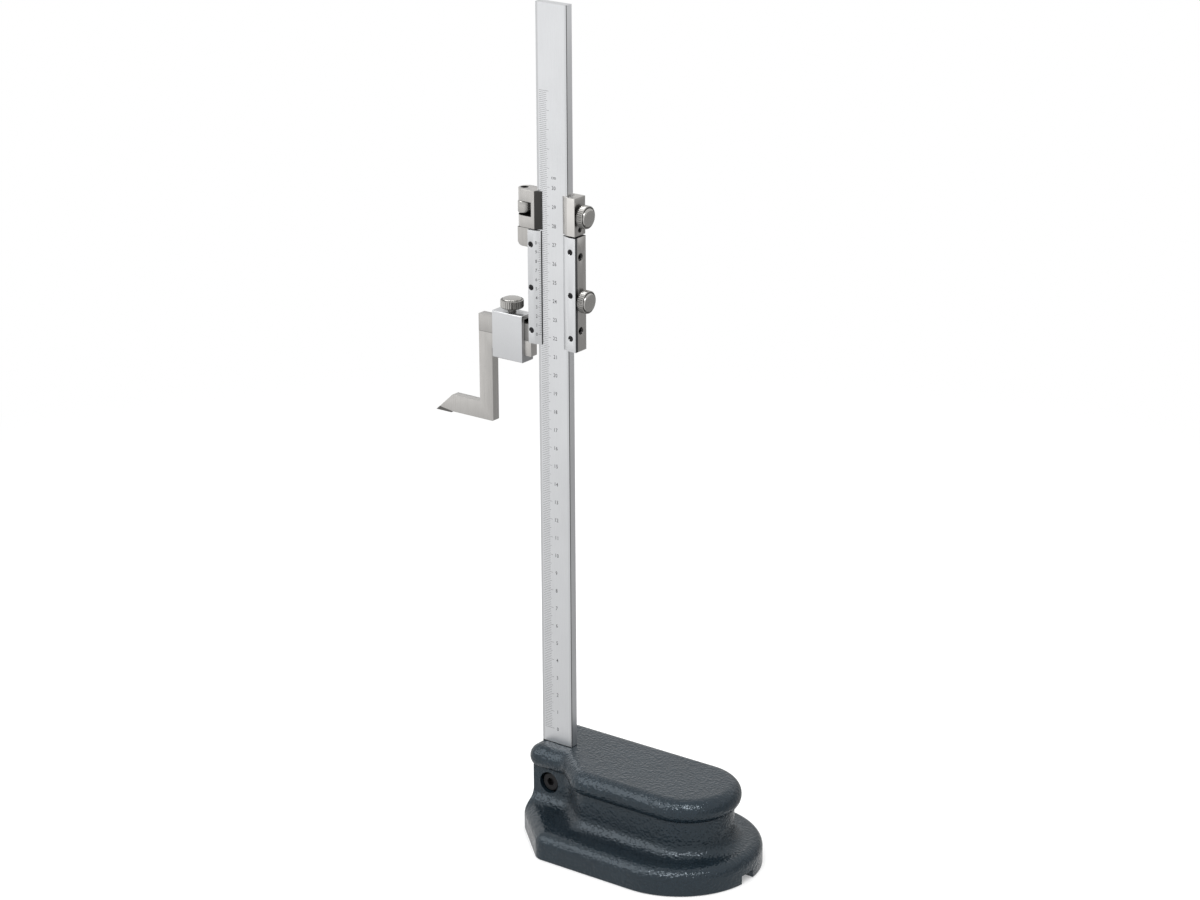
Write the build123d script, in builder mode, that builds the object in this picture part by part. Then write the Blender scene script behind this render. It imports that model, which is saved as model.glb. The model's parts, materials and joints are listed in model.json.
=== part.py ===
from build123d import *
import os

# Vernier height gauge: a cast base, a flat graduated beam, and a slider with a clamped scriber.
# X runs across the beam face, scriber side at -X and the long end of the base at +X.
# The graduated face looks to -Y. Z is up from the underside of the base.
# The origin is on the underside, below the middle of the beam. All sizes are in millimetres.

# ---------------------------------------------------------------- overall heights
total_height = 450.0
base_height = 46.5
scale_zero_z = 55.0          # height of the beam's zero line above the underside
rest_reading = 220.84        # what the vernier reads as modelled

# ---------------------------------------------------------------- clearances
slide_fit = 0.04             # between a sliding piece and its guide, per side
turn_fit = 0.03              # radial, between a turning screw and its hole
face_fit = 0.05              # between the tip of a screw and what it presses on
screw_fit = 0.02             # radial, around a fixed screw in its own thread

# ---------------------------------------------------------------- beam
beam_width = 19.2
beam_thick = 5.0
beam_bevel_width = 1.8       # shallow bevels along both edges of the graduated face
beam_bevel_depth = 0.2
beam_seat_z = 12.0           # floor of the slot that holds the beam's foot

# ---------------------------------------------------------------- base casting
nose_x = -10.4               # flat end of the casting, just past the beam
nose_front = 18.4            # the flat end reaches this far in front of the beam's middle
nose_back = 34.4             # and this far behind it
taper_run = 28.0             # length along X of the tapered front side behind the nose
plate_height = 14.2
plate_half = 44.4
plate_centre_x = 78.5        # centre of the plate's round end
plate_round = 6.0
plate_corner = 8.0
neck_front = 10.0            # front face of the neck, which is recessed for the clamp screw
neck_run_x = 13.0            # where the neck starts to widen
shoulder_x = 31.0            # where the waist reaches its full width
waist_half = 24.7
waist_centre_x = 84.1        # centre of the round end of the waist and of the slab
waist_corner = 10.0
waist_flare = 7.0            # hollow fillet between the waist and the plate
slab_thick = 13.4
slab_lip = 3.75              # overhang of the top slab over the waist
slab_end_lip = 2.8           # overhang at the nose
slab_corner = 7.0
slab_land = 0.05             # upright band left between the slab's upper and lower rounds
groove_width = 10.2          # groove along the underside
groove_height = 4.5
groove_end_x = 25.0          # the groove runs from the round end to here

# ---------------------------------------------------------------- screw that clamps the beam
clamp_screw_z = 26.2
clamp_screw_r = 3.0
clamp_head_r = 5.0
clamp_head_height = 4.0
clamp_hex_flats = 4.0
clamp_hex_depth = 2.4
clamp_head_chamfer = 0.4
clamp_thread_end = 10.0      # end of the screw's thread, behind the beam's middle
clamp_screw_short = 1.0      # how far the screw's end stays short of it
clamp_bore_r = 6.0
clamp_bore_depth = 5.5
clamp_hole_fit = 0.2

# ---------------------------------------------------------------- slider
slider_height = 60.8
vernier_zero_up = 5.4        # zero line of the vernier above the slider's lower edge
guide_left_x = -14.5
guide_right_x = 16.0
gib_space = 1.4              # between the beam's right edge and the right guide
back_wall = 1.96
plate_thick = 2.0
bevel_edge = 0.3             # thickness left at the tip of a bevelled plate
vernier_flat_x = -10.2
vernier_tip_x = -6.8
keeper_flat_x = 11.9
keeper_tip_x = 7.1
plate_screw_left_x = -12.6
plate_screw_right_x = 12.7
plate_screw_low = 7.1        # lowest plate screw above the slider's lower edge
plate_screw_pitch = 23.0
plate_screw_r = 1.0
plate_screw_head_r = 1.6
plate_screw_length = 3.5

# ---------------------------------------------------------------- gibs, set screws and lock screws
gib_thick = 1.3
gib_width = 4.8
gib_short = 1.0              # how far a gib stops short of each end of its slot
set_screw_r = 2.0
set_screw_sink = 0.7         # how far a set screw lies below the side face
set_screw_hex = 2.0
set_screw_up = (10.9, 50.2)  # set screws above the slider's lower edge
lock_screw_up = 27.0
lock_r = 2.0
lock_pad_thick = 1.0
lock_pad_fit = 0.1           # radial, around the pad
lock_knob_r = 6.0
lock_knob_length = 5.0
lock_knob_gap = 1.3          # between the knob and the side face
lock_collar_r = 3.2
knob_chamfer = 0.7

# ---------------------------------------------------------------- arm and scriber
arm_thick = 5.0
arm_height = 9.2
arm_end_x = -49.2
shank_height = 8.4
shank_end_x = -14.6
bar_width = 8.8
foot_height = 9.4
foot_top_x = -68.0           # where the flat top of the foot ends
foot_inner_r = 0.8
tip_x = -79.0
tip_back_x = -68.8
tip_height = 2.0             # height of the carbide where it meets the sloping face
tip_step = 0.7               # how far the steel stays above the carbide edge
tip_step_run = 1.0

# ---------------------------------------------------------------- clamp box
box_left_x = -38.5
box_width = 19.6
box_wall = 2.1
box_floor = 3.7
box_roof = 2.2
box_headroom = 1.9           # between the arm and the roof
box_chamfer = 0.4
clamp_r = 2.0
clamp_knob_r = 6.15
clamp_knob_height = 4.7
clamp_knob_gap = 2.9
clamp_collar_r = 2.6

# ---------------------------------------------------------------- fine-adjustment carriage
carriage_gap = 0.8           # between the slider and the carriage
carriage_height = 20.0
carriage_right_x = 15.8
carriage_lip_left_x = -6.4
carriage_lip_right_x = 7.0
carriage_flat_left_x = -10.0
carriage_flat_right_x = 11.0
ear_end_x = -22.4
boss_height = 10.0
boss_corner = 2.8
adjuster_x = -19.5
adjuster_r = 1.5
adjuster_chamfer = 0.3
adjuster_foot = 7.5          # length of the adjusting screw inside the boss
adjuster_top = 16.0          # its top above the carriage's lower edge
adjuster_hole_r = 1.7
ear_hole_r = 2.1
window_up = 6.1
window_height = 7.6
window_right_x = -12.1
nut_r = 3.6
nut_height = 7.3
nut_chamfer = 0.7
carriage_set_up = 2.9
carriage_set_r = 1.5
carriage_set_hex = 1.5
carriage_lock_up = 10.2

# ---------------------------------------------------------------- derived places
beam_left_x = -beam_width / 2
beam_right_x = beam_width / 2
beam_face_y = -beam_thick / 2
slider_z = scale_zero_z + rest_reading - vernier_zero_up
slider_top_z = slider_z + slider_height
body_front_y = beam_face_y - slide_fit
body_inner_y = beam_thick / 2 + slide_fit
body_back_y = body_inner_y + back_wall
plate_front_y = body_front_y - plate_thick
channel_left_x = beam_left_x - slide_fit
channel_right_x = beam_right_x + gib_space
carriage_z = slider_top_z + carriage_gap
scriber_top_z = slider_z
shank_bottom_z = scriber_top_z - shank_height
arm_top_z = slider_z + arm_height
gib_out_x = beam_right_x + slide_fit + gib_thick
lock_pad_x = gib_out_x + face_fit
lock_tip_x = lock_pad_x + lock_pad_thick + face_fit
tip_z = rest_reading
foot_bottom_z = tip_z + tip_step
foot_top_z = foot_bottom_z + foot_height
box_right_x = box_left_x + box_width
box_mid_x = box_left_x + box_width / 2
box_bottom_z = shank_bottom_z - face_fit - box_floor
box_top_z = arm_top_z + box_headroom + box_roof
box_half_y = arm_thick / 2 + slide_fit + box_wall
slab_z = base_height - slab_thick
clamp_floor_y = -neck_front + clamp_bore_depth

os.makedirs("parts", exist_ok=True)


def finish(part, name):
    """Label a finished piece and write it to its own file."""
    part.label = name
    export_step(part, f"parts/{name}.step")


# ---------------------------------------------------------------- base casting
def level_edges(part, outline, z):
    """Edges of a part at height z that follow an outline, without those on the flat nose."""
    wire = outline.faces()[0].moved(Location((0, 0, z))).outer_wire()
    level = part.edges().filter_by_position(Axis.Z, z - 0.01, z + 0.01)
    return [e for e in level if wire.distance_to(e @ 0.5) < 0.02 and (e @ 0.5).X > nose_x + 0.05]


with BuildSketch() as plate_outline:
    with BuildLine():
        Polyline(
            (plate_centre_x, plate_half),
            (nose_x + plate_half - nose_back, plate_half),
            (nose_x, nose_back),
            (nose_x, -nose_front),
            (nose_x + taper_run, -plate_half),
            (plate_centre_x, -plate_half),
        )
        ThreePointArc(
            (plate_centre_x, -plate_half),
            (plate_centre_x + plate_half, 0),
            (plate_centre_x, plate_half),
        )
    make_face()
    shoulders = [v for v in plate_outline.vertices() if nose_x + 1 < v.X < plate_centre_x - 1]
    fillet(shoulders, plate_corner)

with BuildSketch() as waist_outline:
    with BuildLine():
        Polyline(
            (waist_centre_x, waist_half),
            (nose_x, waist_half),
            (nose_x, -neck_front),
            (neck_run_x, -neck_front),
            (shoulder_x, -waist_half),
            (waist_centre_x, -waist_half),
        )
        ThreePointArc(
            (waist_centre_x, -waist_half),
            (waist_centre_x + waist_half, 0),
            (waist_centre_x, waist_half),
        )
    make_face()
    turns = waist_outline.vertices().filter_by_position(Axis.X, neck_run_x - 0.1, shoulder_x + 0.1)
    fillet(turns, waist_corner)

with BuildSketch(Plane.XY.offset(slab_z)) as slab_outline:
    add(waist_outline.sketch)
    offset(amount=slab_lip, kind=Kind.INTERSECTION)
    with Locations((nose_x - slab_end_lip, 0)):
        Rectangle(slab_lip, 4 * waist_half, align=(Align.MAX, Align.CENTER), mode=Mode.SUBTRACT)
    fillet(slab_outline.vertices().group_by(Axis.X)[0], slab_corner)

with BuildPart() as head_slab:
    add(slab_outline.sketch)
    extrude(amount=slab_thick)
    fillet(head_slab.faces().filter_by(Axis.Z).edges(), slab_thick / 2 - slab_land)

with BuildPart() as base_casting:
    add(plate_outline.sketch)
    extrude(amount=plate_height)
    with BuildSketch():
        add(waist_outline.sketch)
    extrude(amount=slab_z + slab_thick / 2)
    fillet(level_edges(base_casting, waist_outline.sketch, plate_height), waist_flare)
    fillet(level_edges(base_casting, plate_outline.sketch, plate_height), plate_round)
    add(head_slab.part)
    # slot for the beam's foot, open at the nose
    with BuildSketch(Plane.XY.offset(beam_seat_z)):
        with Locations((beam_right_x + slide_fit, 0)):
            Rectangle(beam_width * 2, beam_thick + 2 * slide_fit, align=(Align.MAX, Align.CENTER))
    extrude(amount=base_height, mode=Mode.SUBTRACT)
    # counterbored clearance hole in front of the beam, thread behind it
    with Locations(Plane((0, -neck_front, clamp_screw_z), x_dir=(1, 0, 0), z_dir=(0, -1, 0))):
        CounterBoreHole(
            clamp_screw_r + clamp_hole_fit, clamp_bore_r, clamp_bore_depth, depth=neck_front
        )
        Hole(clamp_screw_r + screw_fit, depth=neck_front + clamp_thread_end)
    # groove along the underside, open at the round end
    with BuildSketch() as groove:
        with Locations((groove_end_x, 0)):
            Rectangle(
                plate_centre_x + plate_half - groove_end_x,
                groove_width,
                align=(Align.MIN, Align.CENTER),
            )
        fillet(groove.vertices().group_by(Axis.X)[0], groove_width / 2 - 0.1)
    extrude(amount=groove_height, mode=Mode.SUBTRACT)
finish(base_casting.part, "base_casting")

# ---------------------------------------------------------------- beam
with BuildPart() as beam:
    with BuildSketch(Plane.XY.offset(beam_seat_z)):
        with BuildLine():
            Polyline(
                (beam_left_x, beam_thick / 2),
                (beam_left_x, beam_face_y + beam_bevel_depth),
                (beam_left_x + beam_bevel_width, beam_face_y),
                (beam_right_x - beam_bevel_width, beam_face_y),
                (beam_right_x, beam_face_y + beam_bevel_depth),
                (beam_right_x, beam_thick / 2),
                close=True,
            )
        make_face()
    extrude(amount=total_height - beam_seat_z)
    with Locations(Plane((0, beam_face_y, clamp_screw_z), x_dir=(1, 0, 0), z_dir=(0, -1, 0))):
        Hole(clamp_screw_r + clamp_hole_fit, depth=beam_thick)
finish(beam.part, "beam")

with BuildPart() as beam_clamp_screw:
    with BuildSketch(Plane((0, clamp_floor_y, clamp_screw_z), x_dir=(1, 0, 0), z_dir=(0, -1, 0))):
        Circle(clamp_head_r)
    extrude(amount=clamp_head_height)
    head_rim = beam_clamp_screw.faces().sort_by(Axis.Y)[0].edges()
    chamfer(head_rim, clamp_head_chamfer)
    with BuildSketch(Plane((0, clamp_floor_y, clamp_screw_z), x_dir=(1, 0, 0), z_dir=(0, 1, 0))):
        Circle(clamp_screw_r)
    extrude(amount=clamp_thread_end - clamp_floor_y - clamp_screw_short)
    with BuildSketch(beam_clamp_screw.faces().sort_by(Axis.Y)[0]):
        RegularPolygon(clamp_hex_flats / 2, 6, major_radius=False)
    extrude(amount=-clamp_hex_depth, mode=Mode.SUBTRACT)
finish(beam_clamp_screw.part, "beam_clamp_screw")


# ---------------------------------------------------------------- small turned pieces
def turned(origin, axis_dir, profile):
    """Turned piece from (length, radius) pairs, along axis_dir from origin."""
    half_plane = Plane(origin, x_dir=axis_dir, z_dir=(0, 1, 0) if axis_dir[1] == 0 else (1, 0, 0))
    with BuildPart() as piece:
        with BuildSketch(half_plane):
            with BuildLine():
                Polyline((profile[0][0], 0), *profile, (profile[-1][0], 0), close=True)
            make_face()
        revolve(axis=Axis(origin, axis_dir))
    return piece.part


def grub_screw(x_in, x_out, radius, flats):
    """Headless screw along X at height 0, with a hexagon socket at its outer end."""
    with BuildPart() as grub:
        with BuildSketch(Plane((x_in, 0, 0), x_dir=(0, 1, 0), z_dir=(1, 0, 0))):
            Circle(radius)
        extrude(amount=x_out - x_in)
        with BuildSketch(Plane((x_out, 0, 0), x_dir=(0, 1, 0), z_dir=(1, 0, 0))):
            RegularPolygon(flats / 2, 6, major_radius=False)
        extrude(amount=-(x_out - x_in) / 2, mode=Mode.SUBTRACT)
    return grub.part


def knob_screw(origin, axis_dir, reach, gap, screw_r, collar_r, knob_r, knob_length):
    """Screw with a round knob: reach lies inside the part, gap is left under the knob."""
    c = knob_chamfer
    end = gap + knob_length
    return turned(
        origin,
        axis_dir,
        [
            (-reach, screw_r),
            (face_fit, screw_r),
            (face_fit, collar_r),
            (gap, collar_r),
            (gap, knob_r - c / 2),
            (gap + c / 2, knob_r),
            (end - c, knob_r),
            (end, knob_r - c),
        ],
    )


# ---------------------------------------------------------------- slider
slider_plan = [
    (guide_left_x, body_front_y),
    (channel_left_x, body_front_y),
    (channel_left_x, body_inner_y),
    (channel_right_x, body_inner_y),
    (channel_right_x, body_front_y),
    (guide_right_x, body_front_y),
    (guide_right_x, body_back_y),
    (guide_left_x, body_back_y),
]
plate_screw_z = [slider_z + plate_screw_low + i * plate_screw_pitch for i in range(3)]
side_plane_x = Plane((guide_right_x, 0, 0), x_dir=(0, 1, 0), z_dir=(1, 0, 0))

with BuildPart() as slider_body:
    with BuildSketch(Plane.XY.offset(slider_z)):
        with BuildLine():
            Polyline(*slider_plan, close=True)
        make_face()
    extrude(amount=slider_height)
    # arm for the scriber
    with BuildSketch(Plane.XY.offset(slider_z)):
        with Locations((guide_left_x, 0)):
            Rectangle(guide_left_x - arm_end_x, arm_thick, align=(Align.MAX, Align.CENTER))
    extrude(amount=arm_height)
    # boss for the adjusting screw
    with BuildSketch(Plane((0, body_front_y, 0), x_dir=(1, 0, 0), z_dir=(0, 1, 0))) as boss:
        with Locations((ear_end_x, -slider_top_z)):
            Rectangle(guide_left_x - ear_end_x, boss_height, align=(Align.MIN, Align.MIN))
        fillet(boss.vertices().group_by(Axis.X)[0].sort_by(Axis.Z)[0], boss_corner)
    extrude(amount=body_back_y - body_front_y)
    with Locations(Plane((adjuster_x, 0, slider_top_z))):
        Hole(adjuster_r + screw_fit, depth=adjuster_foot)
    # threads for the plate screws, the set screws and the lock screw
    face_plane = Plane((0, body_front_y, 0), x_dir=(1, 0, 0), z_dir=(0, -1, 0))
    with BuildSketch(face_plane):
        with Locations(*[(x, z) for x in (plate_screw_left_x, plate_screw_right_x) for z in plate_screw_z]):
            Circle(plate_screw_r + screw_fit)
    extrude(amount=-(plate_screw_length - plate_thick + screw_fit), mode=Mode.SUBTRACT)
    with BuildSketch(side_plane_x):
        with Locations(*[(0, slider_z + up) for up in set_screw_up]):
            Circle(set_screw_r + screw_fit)
        with Locations((0, slider_z + lock_screw_up)):
            Circle(lock_r + turn_fit)
    extrude(amount=-(guide_right_x - channel_right_x), mode=Mode.SUBTRACT)
finish(slider_body.part, "slider_body")


def bevelled_plate(outer_x, flat_x, tip_x_, screw_x):
    """Plate over one guide of the slider, bevelled towards the beam, with countersunk holes."""
    with BuildPart() as cover:
        with BuildSketch(Plane.XY.offset(slider_z)):
            with BuildLine():
                Polyline(
                    (outer_x, body_front_y),
                    (tip_x_, body_front_y),
                    (tip_x_, body_front_y - bevel_edge),
                    (flat_x, plate_front_y),
                    (outer_x, plate_front_y),
                    close=True,
                )
            make_face()
        extrude(amount=slider_height)
        for z in plate_screw_z:
            with Locations(Plane((screw_x, plate_front_y, z), x_dir=(1, 0, 0), z_dir=(0, -1, 0))):
                CounterSinkHole(
                    plate_screw_r + screw_fit,
                    plate_screw_head_r + screw_fit,
                    depth=plate_thick,
                    counter_sink_angle=90,
                )
    return cover.part


vernier_plate = bevelled_plate(guide_left_x, vernier_flat_x, vernier_tip_x, plate_screw_left_x)
finish(vernier_plate, "vernier_plate")

keeper_plate = bevelled_plate(guide_right_x, keeper_flat_x, keeper_tip_x, plate_screw_right_x)
finish(keeper_plate, "keeper_plate")

# small countersunk screw, its head towards -Y and flush with the origin
plate_screw = turned(
    (0, 0, 0),
    (0, 1, 0),
    [
        (0, plate_screw_head_r),
        (plate_screw_head_r - plate_screw_r, plate_screw_r),
        (plate_screw_length, plate_screw_r),
    ],
)

with BuildPart() as vernier_plate_screws:
    with Locations(*[(plate_screw_left_x, plate_front_y, z) for z in plate_screw_z]):
        add(plate_screw)
finish(vernier_plate_screws.part, "vernier_plate_screws")

with BuildPart() as keeper_plate_screws:
    with Locations(*[(plate_screw_right_x, plate_front_y, z) for z in plate_screw_z]):
        add(plate_screw)
finish(keeper_plate_screws.part, "keeper_plate_screws")


def gib(z_low, height):
    """Flat strip between the beam's right edge and the set screws."""
    with BuildPart() as strip:
        with BuildSketch(Plane.XY.offset(z_low + gib_short)):
            with Locations((gib_out_x, 0)):
                Rectangle(gib_thick, gib_width, align=(Align.MAX, Align.CENTER))
        extrude(amount=height - 2 * gib_short)
    return strip.part


def lock_pad(z):
    """Brass pad that the lock screw presses on the gib."""
    pad_r = lock_r - lock_pad_fit
    return turned((lock_pad_x, 0, z), (1, 0, 0), [(0, pad_r), (lock_pad_thick, pad_r)])


def lock_screw(side_x, z):
    """Knurled lock screw in the right-hand side."""
    return knob_screw(
        (side_x, 0, z),
        (1, 0, 0),
        side_x - lock_tip_x,
        lock_knob_gap,
        lock_r,
        lock_collar_r,
        lock_knob_r,
        lock_knob_length,
    )


slider_gib = gib(slider_z, slider_height)
finish(slider_gib, "slider_gib")

set_screw = grub_screw(
    gib_out_x + face_fit, guide_right_x - set_screw_sink, set_screw_r, set_screw_hex
)
with BuildPart() as slider_gib_screws:
    with Locations(*[(0, 0, slider_z + up) for up in set_screw_up]):
        add(set_screw)
finish(slider_gib_screws.part, "slider_gib_screws")

slider_lock_pad = lock_pad(slider_z + lock_screw_up)
finish(slider_lock_pad, "slider_lock_pad")

slider_lock_screw = lock_screw(guide_right_x, slider_z + lock_screw_up)
finish(slider_lock_screw, "slider_lock_screw")

# ---------------------------------------------------------------- fine-adjustment carriage
window_mid_z = carriage_z + window_up + window_height / 2
carriage_side = Plane((carriage_right_x, 0, 0), x_dir=(0, 1, 0), z_dir=(1, 0, 0))

with BuildPart() as carriage_body:
    with BuildSketch(Plane.XY.offset(carriage_z)) as carriage_plan:
        with BuildLine():
            Polyline(
                (ear_end_x, plate_front_y),
                (carriage_flat_left_x, plate_front_y),
                (carriage_lip_left_x, body_front_y - bevel_edge),
                (carriage_lip_left_x, body_front_y),
                (channel_left_x, body_front_y),
                (channel_left_x, body_inner_y),
                (channel_right_x, body_inner_y),
                (channel_right_x, body_front_y),
                (carriage_lip_right_x, body_front_y),
                (carriage_lip_right_x, body_front_y - bevel_edge),
                (carriage_flat_right_x, plate_front_y),
                (carriage_right_x, plate_front_y),
                (carriage_right_x, body_back_y),
                (ear_end_x, body_back_y),
                close=True,
            )
        make_face()
        fillet(carriage_plan.vertices().group_by(Axis.X)[0], (body_back_y - plate_front_y) / 2 - 0.01)
    extrude(amount=carriage_height)
    # window for the nut, open to the left, and the hole for the adjusting screw
    with BuildSketch(Plane.XY.offset(carriage_z + window_up)):
        with Locations((window_right_x, 0)):
            Rectangle(2 * -ear_end_x, 4 * body_back_y, align=(Align.MAX, Align.CENTER))
    extrude(amount=window_height, mode=Mode.SUBTRACT)
    with Locations(Plane((adjuster_x, 0, carriage_z + carriage_height))):
        Hole(adjuster_hole_r, depth=carriage_height)
        Hole(ear_hole_r, depth=carriage_height - window_up - window_height)
    with BuildSketch(carriage_side):
        with Locations((0, carriage_z + carriage_set_up)):
            Circle(carriage_set_r + screw_fit)
        with Locations((0, carriage_z + carriage_lock_up)):
            Circle(lock_r + turn_fit)
    extrude(amount=-(carriage_right_x - channel_right_x), mode=Mode.SUBTRACT)
finish(carriage_body.part, "carriage_body")

carriage_gib = gib(carriage_z, carriage_height)
finish(carriage_gib, "carriage_gib")

carriage_set_screw = grub_screw(
    gib_out_x + face_fit, carriage_right_x - set_screw_sink, carriage_set_r, carriage_set_hex
)
with BuildPart() as carriage_gib_screw:
    with Locations((0, 0, carriage_z + carriage_set_up)):
        add(carriage_set_screw)
finish(carriage_gib_screw.part, "carriage_gib_screw")

carriage_lock_pad = lock_pad(carriage_z + carriage_lock_up)
finish(carriage_lock_pad, "carriage_lock_pad")

carriage_lock_screw = lock_screw(carriage_right_x, carriage_z + carriage_lock_up)
finish(carriage_lock_screw, "carriage_lock_screw")

with BuildPart() as fine_adjust_screw:
    with BuildSketch(Plane.XY.offset(slider_top_z - adjuster_foot + face_fit)):
        with Locations((adjuster_x, 0)):
            Circle(adjuster_r)
    extrude(amount=carriage_z + adjuster_top - (slider_top_z - adjuster_foot + face_fit))
    chamfer(fine_adjust_screw.faces().sort_by(Axis.Z)[-1].edges(), adjuster_chamfer)
finish(fine_adjust_screw.part, "fine_adjust_screw")

with BuildPart() as fine_adjust_nut:
    with BuildSketch(Plane.XY.offset(window_mid_z - nut_height / 2)):
        with Locations((adjuster_x, 0)):
            Circle(nut_r)
            Circle(adjuster_r + turn_fit, mode=Mode.SUBTRACT)
    extrude(amount=nut_height)
    rims = fine_adjust_nut.edges().filter_by(GeomType.CIRCLE).group_by(SortBy.RADIUS)[-1]
    chamfer(rims, nut_chamfer)
finish(fine_adjust_nut.part, "fine_adjust_nut")

# ---------------------------------------------------------------- scriber
bar_right_x = arm_end_x + bar_width
scriber_plane = Plane((0, -arm_thick / 2, 0), x_dir=(1, 0, 0), z_dir=(0, -1, 0))
slope = (foot_top_x - tip_x) / (foot_top_z - tip_z)
tip_top = (tip_x + slope * tip_height, tip_z + tip_height)
tip_root = (tip_back_x + tip_step_run, foot_bottom_z)

with BuildPart() as scriber:
    with BuildSketch(scriber_plane) as scriber_side:
        with BuildLine():
            Polyline(
                (arm_end_x, scriber_top_z - slide_fit),
                (arm_end_x, foot_top_z),
                (foot_top_x, foot_top_z),
                tip_top,
                tip_root,
                (bar_right_x, foot_bottom_z),
                (bar_right_x, shank_bottom_z),
                (shank_end_x, shank_bottom_z),
                (shank_end_x, scriber_top_z - slide_fit),
                close=True,
            )
        make_face()
        inner = scriber_side.vertices().sort_by_distance(Vertex(arm_end_x, -arm_thick / 2, foot_top_z))
        fillet(inner[0], foot_inner_r)
    extrude(amount=-arm_thick)
finish(scriber.part, "scriber")

with BuildPart() as scriber_tip:
    with BuildSketch(scriber_plane):
        with BuildLine():
            Polyline((tip_x, tip_z), (tip_back_x, tip_z), tip_root, tip_top, close=True)
        make_face()
    extrude(amount=-arm_thick)
finish(scriber_tip.part, "scriber_tip")

# ---------------------------------------------------------------- clamp box and its screw
with BuildPart() as clamp_box:
    with BuildSketch(Plane((box_left_x, 0, 0), x_dir=(0, 1, 0), z_dir=(1, 0, 0))):
        with Locations((0, box_bottom_z)):
            Rectangle(
                2 * box_half_y, box_top_z - box_bottom_z, align=(Align.CENTER, Align.MIN)
            )
        with Locations((0, box_bottom_z + box_floor)):
            Rectangle(
                2 * (box_half_y - box_wall),
                box_top_z - box_roof - box_bottom_z - box_floor,
                align=(Align.CENTER, Align.MIN),
                mode=Mode.SUBTRACT,
            )
    extrude(amount=box_width)
    with Locations(Plane((box_mid_x, 0, box_top_z))):
        Hole(clamp_r + turn_fit, depth=box_roof)
    outer = clamp_box.edges().filter_by(Axis.X).group_by(lambda e: round(abs(e.center().Y), 2))[-1]
    chamfer(outer, box_chamfer)
finish(clamp_box.part, "clamp_box")

clamp_screw = knob_screw(
    (box_mid_x, 0, box_top_z),
    (0, 0, 1),
    box_top_z - arm_top_z - face_fit,
    clamp_knob_gap,
    clamp_r,
    clamp_collar_r,
    clamp_knob_r,
    clamp_knob_height,
)
finish(clamp_screw, "clamp_screw")
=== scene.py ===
"""Dresses a vernier height gauge: graduations, numerals, knurled knobs, screw heads and finishes.

Everything is in metres. X runs across the beam, the graduated face looks to -Y and Z is up.
"""

import json
import math

import bpy
from bpy.props import FloatProperty, FloatVectorProperty, IntProperty, PointerProperty
from bpy.types import Operator, Panel, PropertyGroup
from mathutils import Matrix, Vector

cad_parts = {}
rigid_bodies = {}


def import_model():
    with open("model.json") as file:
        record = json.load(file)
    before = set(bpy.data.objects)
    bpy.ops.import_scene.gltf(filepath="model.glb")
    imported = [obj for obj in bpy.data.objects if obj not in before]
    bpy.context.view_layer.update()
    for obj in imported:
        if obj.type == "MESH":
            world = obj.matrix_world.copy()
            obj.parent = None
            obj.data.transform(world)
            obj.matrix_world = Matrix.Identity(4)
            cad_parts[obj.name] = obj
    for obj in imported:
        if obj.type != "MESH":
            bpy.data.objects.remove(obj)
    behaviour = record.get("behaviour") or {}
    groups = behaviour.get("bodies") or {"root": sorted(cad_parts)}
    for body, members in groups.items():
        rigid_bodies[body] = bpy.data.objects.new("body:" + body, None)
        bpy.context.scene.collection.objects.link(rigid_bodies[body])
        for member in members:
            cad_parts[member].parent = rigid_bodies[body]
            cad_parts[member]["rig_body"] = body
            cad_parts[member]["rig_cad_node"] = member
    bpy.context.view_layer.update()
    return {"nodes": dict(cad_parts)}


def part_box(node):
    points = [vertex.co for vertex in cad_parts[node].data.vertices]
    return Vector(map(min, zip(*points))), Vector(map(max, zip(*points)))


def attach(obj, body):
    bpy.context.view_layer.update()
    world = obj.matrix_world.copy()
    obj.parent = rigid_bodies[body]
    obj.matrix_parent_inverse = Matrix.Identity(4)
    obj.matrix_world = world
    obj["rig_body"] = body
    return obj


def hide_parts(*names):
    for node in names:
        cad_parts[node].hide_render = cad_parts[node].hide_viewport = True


bl_info = {
    "name": "Height Gauge Dresser",
    "version": (1, 0, 0),
    "blender": (4, 5, 0),
    "location": "3D View > Sidebar > Height Gauge",
    "description": "Graduations, knurled knobs, screw heads and finishes for a vernier height gauge",
    "category": "Object",
}

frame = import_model()
NODES = frame["nodes"]

MM = 0.001
TINY = 1e-6  # two vertices closer than this are one
OPEN_SIDE = 1.0  # farther out than any part of the gauge
SKIN = 0.05 * MM  # depth to which a zone reaches under or past a face
COLLAR, SHANK = 2.1 * MM, 2.0 * MM  # radii of a knob's collar and of its screw
NUMBER, VECTOR = "NodeSocketFloat", "NodeSocketVector"


def mean(node, axis):
    """Middle of a node's box along an axis."""
    low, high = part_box(node)
    return (low[axis] + high[axis]) / 2


# ---- settings
def length_setting(name, description, millimetres):
    """Length setting, given in millimetres."""
    return FloatProperty(
        name=name, description=description, default=millimetres * MM, unit="LENGTH",
    )


def colour_setting(name, description, default):
    """Colour setting."""
    return FloatVectorProperty(
        name=name, description=description, subtype="COLOR", default=default, min=0, max=1,
    )


def power_setting(name, description, watts):
    """Lamp power setting."""
    return FloatProperty(
        name=name, description=description, default=watts, subtype="POWER", unit="POWER",
    )


def angle_setting(name, description, degrees):
    """Angle setting, given in degrees."""
    return FloatProperty(
        name=name, description=description, default=math.radians(degrees), subtype="ANGLE",
    )


def count_setting(name, description, default, least):
    """Whole-number setting."""
    return IntProperty(name=name, description=description, default=default, min=least)


def level_setting(name, description, default, **limits):
    """Number setting that isn't below nought."""
    return FloatProperty(name=name, description=description, default=default, min=0, **limits)


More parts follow.
